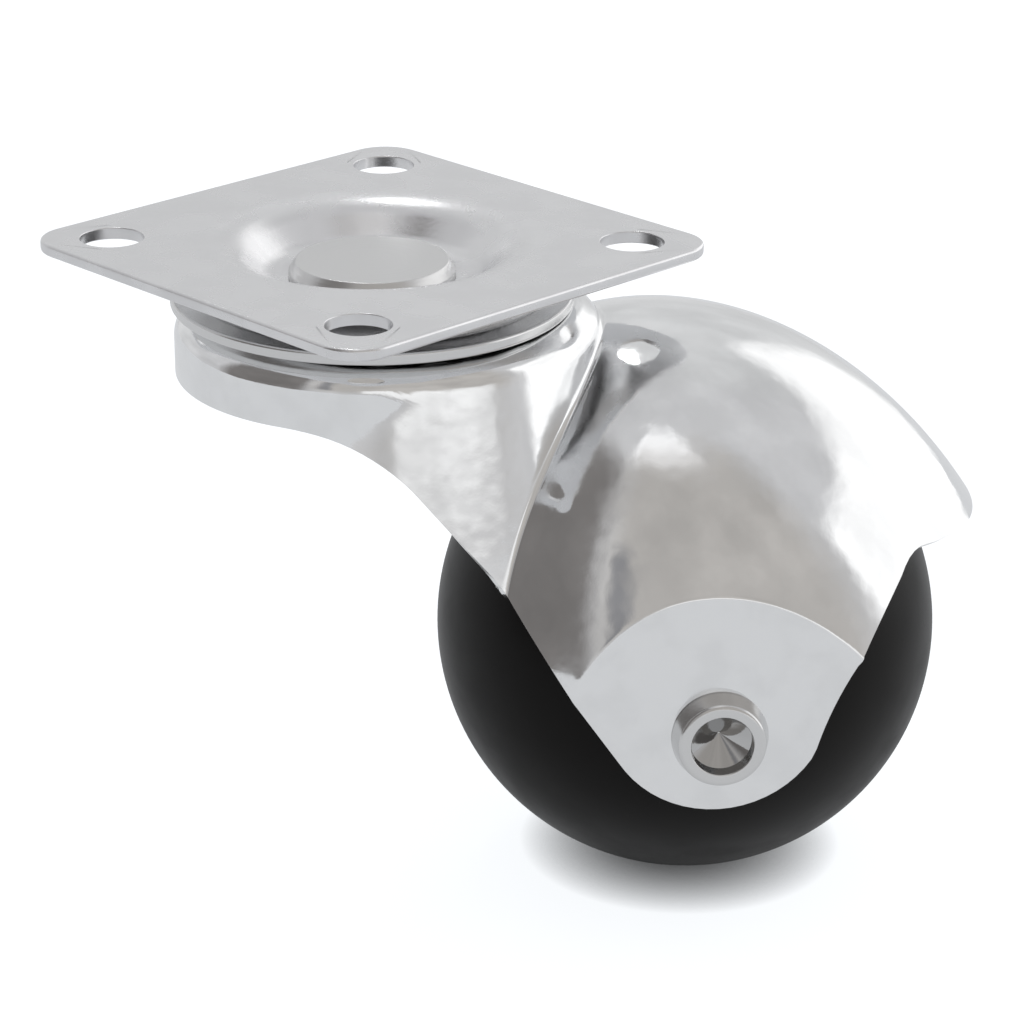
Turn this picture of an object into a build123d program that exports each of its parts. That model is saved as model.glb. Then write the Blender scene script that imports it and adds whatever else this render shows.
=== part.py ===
from build123d import *
from math import acos, cos, degrees, radians, sin, tan
import os

os.makedirs("parts", exist_ok=True)

# Swivel plate caster with a hooded ball wheel, in millimetres.
# The origin is on the swivel axis, in the plane of the plate's mounting face.
# +Z points up into the furniture, +X from the swivel axis to the wheel.

# Top plate
plate_side = 47.6
plate_corner_radius = 4.0
plate_thickness = 1.2
plate_edge_round = 0.3
plate_turn = 39.9  # degrees from the trail, as the caster stands
hole_spacing = 35.5
hole_diameter = 6.2

# Dish pressed into the plate, which sinks the king pin's head
dish_rim_radius = 13.9
dish_slope_run = 3.9
dish_depth = 3.6
dish_rim_round = 1.6
dish_floor_round = 2.0

# King pin, headed at the top and peened at the bottom
pin_diameter = 8.0
pin_head_diameter = 16.2
pin_head_height = 1.6
pin_head_bevel = 0.7
pin_head_bevel_height = 1.0
peen_diameter = 12.4
peen_height = 1.5
peen_round = 0.9
pin_clearance = 0.05
swivel_clearance = 0.1

# Two rows of balls and the sheets that carry them
race_radius = 19.6
race_thickness = 1.2
race_gap = 1.4
race_edge_round = 0.3
upper_ball_diameter = 4.0
upper_ball_pitch_radius = 14.7
upper_ball_count = 20
lower_ball_diameter = 3.0
lower_ball_pitch_radius = 8.6
lower_ball_count = 15
lower_groove_depth = 0.6
lower_race_margin = 1.2
lower_race_thickness = 1.2
ball_clearance = 0.06

# Wheel and axle
trail = 31.2
ball_diameter = 50.0
ball_top_drop = 15.8  # from the mounting face down to the ball's top
wheel_flat_depth = 1.0  # taken off the ball by each flat side
wheel_edge_round = 0.6
axle_diameter = 8.0
axle_clearance = 0.05
sleeve_wall = 1.0
sleeve_end_gap = 0.1
axle_end_root_diameter = 9.2
axle_end_diameter = 8.2
axle_end_height = 2.2
axle_end_round = 0.5
axle_end_bore_diameter = 5.9
axle_end_bore_depth = 1.9
drill_point_angle = 118.0
spacer_diameter = 13.6
spacer_gap = 0.1

# Hood, one sheet pressed to a swivel cup, a neck and a dome with two ears
hood_wall = 1.3
cup_radius = 19.3
cup_depth = 5.4
shoulder_round = 2.0
neck_radius = 19.0
neck_offset = 3.0
neck_flare = 12.5  # degrees
dome_gap = 4.75  # between the ball and the dome's inner face
dome_crown = 3.65  # how much longer the dome is towards the neck
dome_lean = 133.6  # degrees from +X up to the dome's long axis
ear_gap = 2.6  # between the wheel's side and the ear's inner face
crease_round = 1.0
pad_edge_round = 0.6

# Side outline of the hood, where the sheet is trimmed: a throat under the cup,
# a bend, the ear's round tip and a lip behind. Leads, reaches and rises are
# measured from the axle, but the throat's lead from the swivel axis.
throat_lead = 1.2
throat_round = 17.0
bend_lead = 20.9
bend_rise = 14.3
bend_round = 8.0
ear_tip_round = 10.5
ear_tip_lead = 0.6
ear_tip_rise = 2.8
lip_bend_reach = 17.5
lip_bend_rise = 15.2
lip_bend_round = 4.0
lip_fall = 11.0  # degrees

# Levels, measured down from the mounting face
dish_floor = -dish_depth
race_top = dish_floor - plate_thickness
race_bottom = race_top - race_thickness
web_top = race_bottom - race_gap
web_bottom = web_top - hood_wall
cup_bottom = web_top - cup_depth
upper_ball_level = (race_bottom + web_top) / 2
lower_ball_centre_drop = lower_ball_diameter / 2 + ball_clearance - lower_groove_depth
lower_ball_level = web_bottom - lower_ball_centre_drop
lower_race_top = lower_ball_level - lower_ball_centre_drop
lower_race_bottom = lower_race_top - lower_race_thickness

# Radii and widths that follow
ball_radius = ball_diameter / 2
axle_level = -(ball_top_drop + ball_radius)
wheel_width = ball_diameter - 2 * wheel_flat_depth
pin_radius = pin_diameter / 2
upper_groove_radius = upper_ball_diameter / 2 + ball_clearance
lower_groove_radius = lower_ball_diameter / 2 + ball_clearance
lower_race_radius = lower_ball_pitch_radius + lower_groove_radius + lower_race_margin
axle_radius = axle_diameter / 2
sleeve_bore_radius = axle_radius + axle_clearance
sleeve_radius = sleeve_bore_radius + sleeve_wall
wheel_bore_radius = sleeve_radius + axle_clearance
dome_radius = ball_radius + dome_gap + hood_wall
dome_long_radius = dome_radius + dome_crown
ear_inside = wheel_width / 2 + ear_gap
ear_face = ear_inside + hood_wall
axle_half_length = ear_face + axle_end_height

# Planes: the side plane holds the swivel axis and the trail, the axle plane
# stands across it with its own x along the axle
side_plane = Plane.XZ
wheel_centre = Vector(trail, 0, axle_level)
wheel_plane = Plane(origin=wheel_centre, x_dir=(1, 0, 0), z_dir=(0, -1, 0))
axle_plane = Plane(origin=wheel_centre, x_dir=(0, 1, 0), z_dir=(1, 0, 0))
axle_axis = Axis(wheel_centre, (0, 1, 0))
far = 3 * ball_diameter


def export(part, name):
    """Label one finished piece and write it to its own file."""
    part.label = name
    export_step(part, f"parts/{name}.step")


def pressed_ridge(pitch, level, radius, sheet_face, above):
    """Round back of a groove, left on the side of the sheet away from its balls.

    above is True where the sheet lies above its balls."""
    cut_level = sheet_face - far / 2 if above else sheet_face + far / 2
    with Locations((pitch, level)):
        Circle(radius)
    with Locations((pitch, cut_level)):
        Rectangle(far, far, mode=Mode.SUBTRACT)


def race_section(outer, top, bottom, pitch, level, groove, above):
    """Half section of a race: a flat ring of sheet pressed round its balls."""
    inner = pin_radius + pin_clearance
    sheet_face = bottom if above else top
    pressed_ridge(pitch, level, groove + top - bottom, sheet_face, above)
    with Locations(((inner + outer) / 2, (top + bottom) / 2)):
        Rectangle(outer - inner, top - bottom)
    with Locations((pitch, level)):
        Circle(groove, mode=Mode.SUBTRACT)


# Top plate: a square sheet with a pressed dish and four screw holes
plate_plane = Plane.XY.rotated((0, 0, plate_turn))
dish_floor_radius = dish_rim_radius - dish_slope_run
dish_blend_radius = dish_rim_radius + dish_rim_round
with BuildPart() as top_plate:
    with BuildSketch(plate_plane):
        RectangleRounded(plate_side, plate_side, plate_corner_radius)
    extrude(amount=-plate_thickness)
    fillet(top_plate.faces().sort_by(Axis.Z)[-1].edges(), plate_edge_round)
    with BuildSketch(Plane.XY):
        Circle(dish_blend_radius)
    extrude(amount=-plate_thickness, mode=Mode.SUBTRACT)
    with BuildSketch(side_plane):
        with BuildLine():
            dish_line = FilletPolyline(
                (0, dish_floor),
                (dish_floor_radius, dish_floor),
                (dish_rim_radius, 0),
                (dish_blend_radius, 0),
                radius=(dish_floor_round, dish_rim_round),
            )
            offset(dish_line, amount=plate_thickness, side=Side.RIGHT)
        make_face()
    revolve(axis=Axis.Z)
    with Locations((0, 0, dish_floor)):
        Hole(pin_radius + pin_clearance)
    with BuildSketch(plate_plane):
        with GridLocations(hole_spacing, hole_spacing, 2, 2):
            Circle(hole_diameter / 2)
    extrude(amount=-plate_thickness, mode=Mode.SUBTRACT)
export(top_plate.part, "top_plate")

# King pin: a bevelled flat head in the dish, a shank and a peened lower end
head_radius = pin_head_diameter / 2
head_top = dish_floor + pin_head_height
peen_radius = peen_diameter / 2
peen_bottom = lower_race_bottom - peen_height
with BuildPart() as king_pin:
    with BuildSketch(side_plane) as pin_section:
        with BuildLine():
            Polyline(
                (0, peen_bottom),
                (peen_radius, peen_bottom),
                (peen_radius, lower_race_bottom),
                (pin_radius, lower_race_bottom),
                (pin_radius, dish_floor),
                (head_radius, dish_floor),
                (head_radius, head_top - pin_head_bevel_height),
                (head_radius - pin_head_bevel, head_top),
                (0, head_top),
                close=True,
            )
        make_face()
        peen_corner = pin_section.vertices().group_by(Axis.Y)[0].sort_by(Axis.X)[-1]
        fillet(peen_corner, peen_round)
    revolve(axis=Axis.Z)
export(king_pin.part, "king_pin")

# Upper race: the bright-edged disc under the plate, pressed up over its balls
with BuildPart() as upper_race:
    with BuildSketch(side_plane) as upper_section:
        race_section(
            outer=race_radius,
            top=race_top,
            bottom=race_bottom,
            pitch=upper_ball_pitch_radius,
            level=upper_ball_level,
            groove=upper_groove_radius,
            above=True,
        )
        fillet(upper_section.vertices().group_by(Axis.X)[-1], race_edge_round)
    revolve(axis=Axis.Z)
export(upper_race.part, "upper_race")

# Lower race: a small cup under the hood's web, held by the peened end
with BuildPart() as lower_race:
    with BuildSketch(side_plane) as lower_section:
        race_section(
            outer=lower_race_radius,
            top=lower_race_top,
            bottom=lower_race_bottom,
            pitch=lower_ball_pitch_radius,
            level=lower_ball_level,
            groove=lower_groove_radius,
            above=False,
        )
        fillet(lower_section.vertices().group_by(Axis.X)[-1], race_edge_round)
    revolve(axis=Axis.Z)
export(lower_race.part, "lower_race")

# Balls of the swivel bearing, each a piece of its own
ball_rows = (
    ("upper", upper_ball_count, upper_ball_diameter, upper_ball_pitch_radius, upper_ball_level),
    ("lower", lower_ball_count, lower_ball_diameter, lower_ball_pitch_radius, lower_ball_level),
)
for row, count, diameter, pitch_radius, level in ball_rows:
    for index in range(count):
        with BuildPart(Plane.XY.offset(level)) as bearing_ball:
            with PolarLocations(pitch_radius, 1, start_angle=360 * index / count):
                Sphere(diameter / 2)
        export(bearing_ball.part, f"{row}_ball_{index + 1:02d}")


# Hood: the full form inside its inner face is taken from the full form inside
# its outer face, which leaves one sheet of even wall
dome_axis_direction = (cos(radians(dome_lean)), 0, sin(radians(dome_lean)))
dome_plane = Plane(origin=wheel_centre, x_dir=dome_axis_direction, z_dir=(0, -1, 0))
flare = radians(neck_flare)


def hood_form(inset):
    """Cup, neck and dome as one solid, drawn in from the outer face by inset."""
    level = web_top - inset
    corner = shoulder_round - inset
    cup_wall = cup_radius - inset
    neck_top = neck_offset + neck_radius + inset * tan(flare) - inset / cos(flare)
    neck_foot = neck_top + (level - axle_level) * tan(flare)
    with BuildPart() as form:
        with BuildSketch(side_plane):
            with BuildLine():
                FilletPolyline(
                    (0, axle_level),
                    (0, level),
                    (cup_wall, level),
                    (cup_wall, axle_level),
                    radius=(0, 0, corner, 0),
                    close=True,
                )
            make_face()
        revolve(axis=Axis.Z)
        with BuildSketch(side_plane):
            with BuildLine():
                FilletPolyline(
                    (neck_offset, axle_level),
                    (neck_offset, level),
                    (neck_top, level),
                    (neck_foot, axle_level),
                    radius=(0, 0, corner, 0),
                    close=True,
                )
            make_face()
        revolve(axis=Axis((neck_offset, 0, 0), (0, 0, 1)))
        with BuildSketch(dome_plane):
            Ellipse(dome_long_radius - inset, dome_radius - inset)
            with Locations((0, -far / 2)):
                Rectangle(far, far, mode=Mode.SUBTRACT)
        revolve(axis=Axis(wheel_centre, dome_axis_direction))
        with Locations(wheel_centre):
            Box(2 * far, 2 * (ear_face - inset), 2 * far, mode=Mode.INTERSECT)
        dome_face = form.faces().filter_by(GeomType.REVOLUTION)[0]
        pad_edges = form.faces().filter_by(Axis.Y).edges()
        creases = [
            edge
            for edge in dome_face.edges()
            if edge.center().Z > axle_level + crease_round and edge not in pad_edges
        ]
        fillet(creases, crease_round + inset)
    return form.part


def tangent_point(point, centre, radius, side):
    """Where a line from the point touches the circle; side is +1 or -1."""
    across = point - centre
    spread = degrees(acos(radius / across.length))
    return centre + across.normalized().rotate(Axis.Z, side * spread) * radius


throat_corner = Vector(-throat_lead, cup_bottom)
bend_corner = Vector(trail - bend_lead, axle_level + bend_rise)
tip_centre = Vector(trail - ear_tip_lead, axle_level + ear_tip_rise)
tip_bottom = tip_centre - Vector(0, ear_tip_round)
lip_corner = Vector(trail + lip_bend_reach, axle_level + lip_bend_rise)
tip_front = tangent_point(bend_corner, tip_centre, ear_tip_round, 1)
tip_rear = tangent_point(lip_corner, tip_centre, ear_tip_round, -1)
lip_end = lip_corner + Vector(far, -far * tan(radians(lip_fall)))
with BuildPart() as hood:
    add(hood_form(0))
    pad_edges = hood.faces().filter_by(Axis.Y).edges()
    fillet(pad_edges, pad_edge_round)
    add(hood_form(hood_wall), mode=Mode.SUBTRACT)
    with BuildSketch(side_plane) as trim_outline:
        with BuildLine():
            Polyline((-far, cup_bottom), throat_corner, bend_corner, tip_front)
            ThreePointArc(tip_front, tip_bottom, tip_rear)
            Polyline(tip_rear, lip_corner, lip_end, (lip_end.X, far), (-far, far), (-far, cup_bottom))
        make_face()
        for corner, radius in (
            (throat_corner, throat_round),
            (bend_corner, bend_round),
            (lip_corner, lip_bend_round),
        ):
            fillet(trim_outline.vertices().sort_by_distance(corner)[0], radius)
    extrude(amount=far, both=True, mode=Mode.INTERSECT)
    with BuildSketch(side_plane):
        pressed_ridge(
            upper_ball_pitch_radius, upper_ball_level, upper_groove_radius + hood_wall, web_top, False
        )
    revolve(axis=Axis.Z)
    with BuildSketch(side_plane):
        pressed_ridge(
            lower_ball_pitch_radius, lower_ball_level, lower_groove_radius + hood_wall, web_bottom, True
        )
    revolve(axis=Axis.Z)
    with BuildSketch(side_plane):
        with Locations((upper_ball_pitch_radius, upper_ball_level)):
            Circle(upper_groove_radius)
        with Locations((lower_ball_pitch_radius, lower_ball_level)):
            Circle(lower_groove_radius)
    revolve(axis=Axis.Z, mode=Mode.SUBTRACT)
    with BuildSketch(Plane.XY):
        Circle(pin_radius + swivel_clearance)
    extrude(amount=axle_level, mode=Mode.SUBTRACT)
    with BuildSketch(wheel_plane):
        Circle(axle_radius + axle_clearance)
    extrude(amount=far, both=True, mode=Mode.SUBTRACT)
export(hood.part, "hood")

# Axle: a solid pin with drilled ends that are spread outside the ears
bore_radius = axle_end_bore_diameter / 2
bore_foot = axle_half_length - axle_end_bore_depth
drill_point = bore_foot - bore_radius / tan(radians(drill_point_angle / 2))
end_radius = axle_end_diameter / 2
with BuildPart() as axle:
    with BuildSketch(axle_plane) as axle_section:
        with BuildLine():
            Polyline(
                (0, 0),
                (0, axle_radius),
                (ear_face, axle_radius),
                (ear_face, axle_end_root_diameter / 2),
                (axle_half_length, end_radius),
                (axle_half_length, bore_radius),
                (bore_foot, bore_radius),
                (drill_point, 0),
                close=True,
            )
        make_face()
        end_corner = axle_section.vertices().sort_by_distance((axle_half_length, end_radius))[0]
        fillet(end_corner, axle_end_round)
    revolve(axis=axle_axis)
    mirror(about=Plane.XZ)
export(axle.part, "axle")

# Sleeve: a tube between the ears that the wheel turns on
with BuildPart() as axle_sleeve:
    with BuildSketch(wheel_plane):
        Circle(sleeve_radius)
        Circle(sleeve_bore_radius, mode=Mode.SUBTRACT)
    extrude(amount=ear_inside - sleeve_end_gap, both=True)
export(axle_sleeve.part, "axle_sleeve")

# Spacer washers between the wheel's sides and the ears
for side_name, side in (("near", -1), ("far", 1)):
    with BuildPart() as spacer:
        with BuildSketch(Plane.XZ.offset(-side * (wheel_width / 2 + spacer_gap))):
            with Locations((trail, axle_level)):
                Circle(spacer_diameter / 2)
                Circle(sleeve_radius + axle_clearance, mode=Mode.SUBTRACT)
        extrude(amount=-side * (ear_gap - 2 * spacer_gap))
    export(spacer.part, f"{side_name}_spacer")

# Ball wheel: one moulded ball with flat sides, bored for the sleeve
with BuildPart() as ball_wheel:
    with BuildSketch(axle_plane) as wheel_section:
        Circle(ball_radius)
        Rectangle(wheel_width, far, mode=Mode.INTERSECT)
        with Locations((0, wheel_bore_radius - far / 2)):
            Rectangle(far, far, mode=Mode.SUBTRACT)
        side_corners = wheel_section.vertices().group_by(Axis.Y)[1]
        fillet(side_corners, wheel_edge_round)
    revolve(axis=axle_axis)
export(ball_wheel.part, "ball_wheel")
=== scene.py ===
import math

import bmesh
import bpy
from bpy.props import FloatProperty, FloatVectorProperty, PointerProperty
from mathutils import Matrix, Quaternion, Vector


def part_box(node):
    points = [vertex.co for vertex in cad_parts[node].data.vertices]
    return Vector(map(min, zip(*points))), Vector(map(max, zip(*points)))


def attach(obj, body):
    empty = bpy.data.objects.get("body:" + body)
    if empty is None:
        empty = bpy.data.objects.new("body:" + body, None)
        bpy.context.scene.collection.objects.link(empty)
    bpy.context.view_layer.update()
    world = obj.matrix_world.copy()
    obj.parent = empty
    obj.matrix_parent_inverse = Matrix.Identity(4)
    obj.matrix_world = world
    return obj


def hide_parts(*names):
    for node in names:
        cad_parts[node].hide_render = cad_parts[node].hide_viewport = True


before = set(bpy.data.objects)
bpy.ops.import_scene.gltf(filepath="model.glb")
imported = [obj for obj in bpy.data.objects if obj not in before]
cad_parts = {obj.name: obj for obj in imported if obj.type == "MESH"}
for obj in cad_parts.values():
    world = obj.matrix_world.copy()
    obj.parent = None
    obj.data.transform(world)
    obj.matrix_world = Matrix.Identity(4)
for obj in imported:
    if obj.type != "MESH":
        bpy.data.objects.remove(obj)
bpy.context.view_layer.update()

bl_info = {
    "name": "Plate caster looks",
    "version": (1, 0, 0),
    "blender": (4, 5, 0),
    "location": "View3D > Sidebar > Caster",
    "description": "Smooth pressed, turned and moulded pieces for a hooded ball caster, with their finishes",
    "category": "Add Mesh",
}

MM = 0.001

# Places read from the frame, in metres
PLATE_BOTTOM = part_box("top_plate")[0].z
PIN_LOW, PIN_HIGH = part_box("king_pin")
RACE_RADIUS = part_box("upper_race")[1].x
LOWER_RACE_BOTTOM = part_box("lower_race")[0].z
WHEEL_LOW, WHEEL_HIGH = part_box("ball_wheel")
WHEEL_CENTRE = (WHEEL_LOW + WHEEL_HIGH) / 2

UP = Vector((0, 0, 1))
TRAIL = Vector((1, 0, 0))
ACROSS = Vector((0, 1, 0))
HOOD_MIDDLE = Vector((13, 0, -24)) * MM  # seen from here, the whole hood lies open
TINY = 1e-9
NEARLY_ONE = 0.9995  # cosine at which two faces count as one
MERGE = 2e-3 * MM  # points closer than this become one

# How finely the hood is drawn
STATIONS, WEB_ROWS, WALL_ROWS = 118, 20, 68  # grid of its near half, along and across the trimmed edge
SURVEY_STEPS = 40  # points on each line down the hood, from which its rows are spaced
FIRST_REACH, NEAREST, FARTHEST = 30 * MM, 5 * MM, 80 * MM  # where a ray from the middle looks for the sheet
CLOSE_ENOUGH = 1e-5 * MM  # how near to the sheet a ray ends
HALVINGS = 40  # how often a search halves its range
EDGE_STEPS, THROAT_STEPS, BEND_STEPS, TIP_STEPS = 60, 30, 20, 80  # points on the trim outline's stretches
REFINED_WITHIN = 2.2 * MM, 0.9 * MM  # distances from a bend within which faces are split
EAR_PATCH, EAR_REACH = 0.55, 1.45  # faces taken out and drawn outwards, in radii of the ear's hole
EAR_MARGIN = 1.2  # how far past that reach the ear's mesh is made finer

# How finely the turned pieces are drawn, around and along their arcs
TURNED_STEPS, AXLE_STEPS, BALL_STEPS, BALL_ARC_STEPS = 128, 96, 192, 110
HOLE_RIM_WEIGHT = 0.4  # share of the plate's edge round that its screw holes get


def length(name, default, description):
    """A size in metres that the sidebar shows in the scene's unit."""
    return FloatProperty(name=name, default=default, description=description, unit="LENGTH", precision=5)


def angle(name, degrees, description):
    """An angle, given in degrees and kept in radians."""
    return FloatProperty(name=name, default=math.radians(degrees), description=description, unit="ROTATION")


def colour(name, default, description):
    """A linear colour."""
    return FloatVectorProperty(name=name, default=default, description=description, subtype="COLOR", size=3)


def sheen(name, default, description):
    """A roughness from 0 to 1."""
    return FloatProperty(name=name, default=default, description=description, min=0, max=1, subtype="FACTOR")


class HoodSizes(bpy.types.PropertyGroup):
    """Sizes of the pressed hood, as its outer face is drawn."""

    wall: length("Wall", 1.3 * MM, "Thickness of the sheet")
    cup_radius: length("Cup radius", 19.3 * MM, "Radius of the swivel cup")
    web_top: length("Web level", -6.6 * MM, "Level of the cup's flat top")
    cup_bottom: length("Cup bottom", -12.8 * MM, "Level where the cup is trimmed")
    shoulder: length("Shoulder round", 2.6 * MM, "Round between the web and the walls")
    neck_radius: length("Neck radius", 18.75 * MM, "Radius of the neck at the web")
    neck_offset: length("Neck offset", 3.1 * MM, "How far the neck's axis leads the swivel axis")
    neck_flare: angle("Neck flare", 11.1, "How much the neck widens downwards")
    dome_long: length("Dome long radius", 41.1 * MM, "Radius of the dome along its long axis")
    dome_short: length("Dome short radius", 32.0 * MM, "Radius of the dome across its long axis")
    dome_broad: length("Dome broad radius", 32.75 * MM, "Radius of the dome along the axle")
    dome_lean: angle("Dome lean", 115.9, "Angle from the trail up to the dome's long axis")
    dome_trail: length("Dome trail", 2.9 * MM, "How far the dome's middle trails the axle")
    dome_drop: length("Dome drop", 6.5 * MM, "How far the dome's middle lies below the axle")
    ear_face: length("Ear face", 27.9 * MM, "Distance of the ears' flat faces from the middle")
    pad_round: length("Pad edge round", 0.6 * MM, "Round between the flat pads and the dome")
    crease_round: length("Crease round", 0.6 * MM, "Round in the crease between neck and dome")
    blend_round: length("Blend round", 15.0 * MM, "Round where the neck grows out of the cup")
    upper_pitch: length("Upper row pitch", 14.7 * MM, "Pitch radius of the upper balls")
    upper_level: length("Upper row level", -6.7 * MM, "Level of the upper balls' centres")
    upper_groove: length("Upper groove radius", 2.06 * MM, "Radius of the groove for the upper balls")
    lower_pitch: length("Lower row pitch", 8.6 * MM, "Pitch radius of the lower balls")
    lower_level: length("Lower row level", -9.66 * MM, "Level of the lower balls' centres")
    lower_groove: length("Lower groove radius", 1.56 * MM, "Radius of the groove for the lower balls")
    pin_hole: length("Pin hole radius", 4.1 * MM, "Radius of the hole for the king pin")
    web_flat: length("Web edge radius", 17.0 * MM, "Radius out to which the web is surely flat")
    axle_hole: length("Axle hole radius", 4.3 * MM, "Radius of the ears' holes at their mouths")
    edge_round: length("Cut edge round", 0.3 * MM, "Round on the trimmed edge of the sheet")


class HoodOutline(bpy.types.PropertyGroup):
    """Side outline to which the hood is trimmed; leads and rises are from the axle."""

    throat_lead: length("Throat lead", 1.7 * MM, "From the swivel axis to where the cup's edge turns down")
    throat_round: length("Throat round", 17.0 * MM, "Radius of the throat")
    bend_lead: length("Bend lead", 20.95 * MM, "How far the front bend leads the axle")
    bend_rise: length("Bend rise", 14.15 * MM, "How far the front bend stands above the axle")
    bend_round: length("Bend round", 8.0 * MM, "Radius of the front bend")
    tip_round: length("Ear tip round", 10.8 * MM, "Radius of the ear's lower end")
    tip_lead: length("Ear tip lead", 0.3 * MM, "How far the tip's centre leads the axle")
    tip_rise: length("Ear tip rise", 3.2 * MM, "How far the tip's centre stands above the axle")
    rear_bow: length("Rear bow", 1.15 * MM, "How much the ear's rear edge bows forward between its ends")
    lip_reach: length("Lip reach", 18.9 * MM, "How far behind the axle the lip's bend lies")
    lip_rise: length("Lip rise", 15.25 * MM, "How far the lip's bend stands above the axle")
    lip_round: length("Lip round", 2.5 * MM, "Radius of the lip's bend")
    lip_fall: angle("Lip fall", 12.0, "How much the lip falls towards the rear")


class PlateSizes(bpy.types.PropertyGroup):
    """Sizes of the screw plate, pressed from sheet."""

    side: length("Side", 47.6 * MM, "Side of the square plate")
    corner: length("Corner radius", 4.0 * MM, "Radius of the plate's corners")
    wall: length("Wall", 1.2 * MM, "Thickness of the sheet")
    edge_round: length("Edge round", 0.3 * MM, "Round on the cut edge")
    turn: angle("Turn", 39.9, "How far the plate is turned from the trail")
    hole_spacing: length("Hole spacing", 35.5 * MM, "Distance between the screw holes")
    hole_radius: length("Hole radius", 3.1 * MM, "Radius of the screw holes")
    dish_rim: length("Dish rim radius", 13.9 * MM, "Where the dish's slope meets the flat")
    dish_floor: length("Dish floor radius", 10.0 * MM, "Where the dish's slope meets its floor")
    dish_depth: length("Dish depth", 3.6 * MM, "Depth of the dish")
    rim_round: length("Rim round", 5.5 * MM, "Round at the dish's rim")
    floor_round: length("Floor round", 3.0 * MM, "Round at the dish's floor")
    pin_hole: length("Pin hole radius", 4.05 * MM, "Radius of the hole for the king pin")


class SwivelSizes(bpy.types.PropertyGroup):
    """Sizes of the king pin and the upper race."""

    head_radius: length("Head radius", 8.1 * MM, "Radius of the pin's head")
    head_bevel: length("Head bevel", 0.7 * MM, "Width of the bevel round the head")
    bevel_height: length("Bevel height", 1.0 * MM, "Height of the bevel round the head")
    bevel_top_round: length("Bevel top round", 0.2 * MM, "Round above the bevel")
    bevel_foot_round: length("Bevel foot round", 0.3 * MM, "Round below the bevel")
    shank_radius: length("Shank radius", 4.0 * MM, "Radius of the pin's shank")
    peen_radius: length("Peen radius", 6.2 * MM, "Radius of the peened end")
    peen_round: length("Peen round", 0.9 * MM, "Round of the peened end")
    race_wall: length("Race wall", 1.2 * MM, "Thickness of the race's sheet")
    race_round: length("Race edge round", 0.3 * MM, "Round on the race's rim")


class WheelSizes(bpy.types.PropertyGroup):
    """Sizes of the ball wheel and its axle."""

    bore: length("Bore radius", 5.1 * MM, "Radius of the wheel's bore")
    axle_radius: length("Axle radius", 4.0 * MM, "Radius of the axle between the ears")
    root_radius: length("Spread end radius", 4.6 * MM, "Radius of the axle's end where it meets the ear")
    root_gap: length("Root gap", 0.2 * MM, "Width and depth of the gap between the spread end and the ear")
    end_radius: length("End radius", 4.1 * MM, "Radius of the axle's end at its face")
    end_height: length("End height", 2.2 * MM, "How far the axle's end stands out of the ear")
    end_round: length("End round", 0.5 * MM, "Round of the axle's end")
    recess_radius: length("Recess radius", 2.95 * MM, "Radius of the drilled recess")
    recess_depth: length("Recess depth", 1.5 * MM, "Depth of the recess's straight wall")
    mouth_round: length("Recess mouth round", 0.15 * MM, "Round at the recess's mouth")
    drill_point: angle("Drill point", 118.0, "Angle of the recess's conical floor")
    fine_round: length("Fine round", 0.05 * MM, "Round at the recess's floor and at the spread end's root")


class FinishLooks(bpy.types.PropertyGroup):
    """Colours and sheens of the finishes."""

    chrome: colour("Chrome", (0.86, 0.865, 0.87), "Bright chrome plating")
    zinc: colour("Zinc", (0.80, 0.80, 0.81), "Satin zinc plating")
    steel: colour("Steel", (0.70, 0.70, 0.70), "Turned steel")
    black: colour("Black", (0.0085, 0.0078, 0.0074), "Moulded black plastic")
    chrome_roughness: sheen("Chrome roughness", 0.08, "Sheen of the chrome")
    zinc_roughness: sheen("Zinc roughness", 0.27, "Sheen of the zinc plating")
    pin_roughness: sheen("Pin roughness", 0.3, "Sheen of the king pin")
    axle_roughness: sheen("Axle roughness", 0.2, "Sheen of the axle")
    recess_roughness: sheen("Recess roughness", 0.06, "Sheen of the axle's drilled recess")
    race_roughness: sheen("Race roughness", 0.22, "Sheen of the races")
    ball_roughness: sheen("Ball roughness", 0.3, "Sheen of the greased bearing balls")
    black_roughness: sheen("Black roughness", 0.38, "Sheen of the wheel")
    spacer_roughness: sheen("Spacer roughness", 0.6, "Sheen of the spacers")


class StageSizes(bpy.types.PropertyGroup):
    """Camera and floor."""

    azimuth: angle("Azimuth", -4.5, "Camera's turn about the vertical; zero looks along +Y")
    elevation: angle("Elevation", 22.08, "Camera's height above the horizon")
    roll: angle("Roll", 0.25, "Camera's turn about its own line of sight")
    place: FloatVectorProperty(
        name="Camera place",
        default=(-0.0124, -0.3312, 0.1060),
        description="Where the camera stands",
        unit="LENGTH",
        subtype="TRANSLATION",
        size=3,
    )
    lens: FloatProperty(name="Lens", default=126.4, description="Focal length, 36 mm frame", unit="CAMERA")
    floor_reach: length("Floor reach", 0.55, "Half the side of the floor")


def place_piece(name, bm, body, slot, *replaced):
    """Turn a finished bmesh into a piece that rides on its body and stands for its nodes."""
    mesh = bpy.data.meshes.new(name)
    for face in bm.faces:
        face.smooth = True
    bm.to_mesh(mesh)
    bm.free()
    piece = bpy.data.objects.new(name, mesh)
    bpy.context.scene.collection.objects.link(piece)
    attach(piece, body)
    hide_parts(*replaced)
    return piece


def arc_points(centre, start, sweep, steps):
    """Points of an arc in the plane; its start is given from its centre."""
    points = []
    for step in range(steps + 1):
        turned = start.copy()
        turned.rotate(Matrix.Rotation(sweep * step / steps, 2))
        points.append(centre + turned)
    return points


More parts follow.
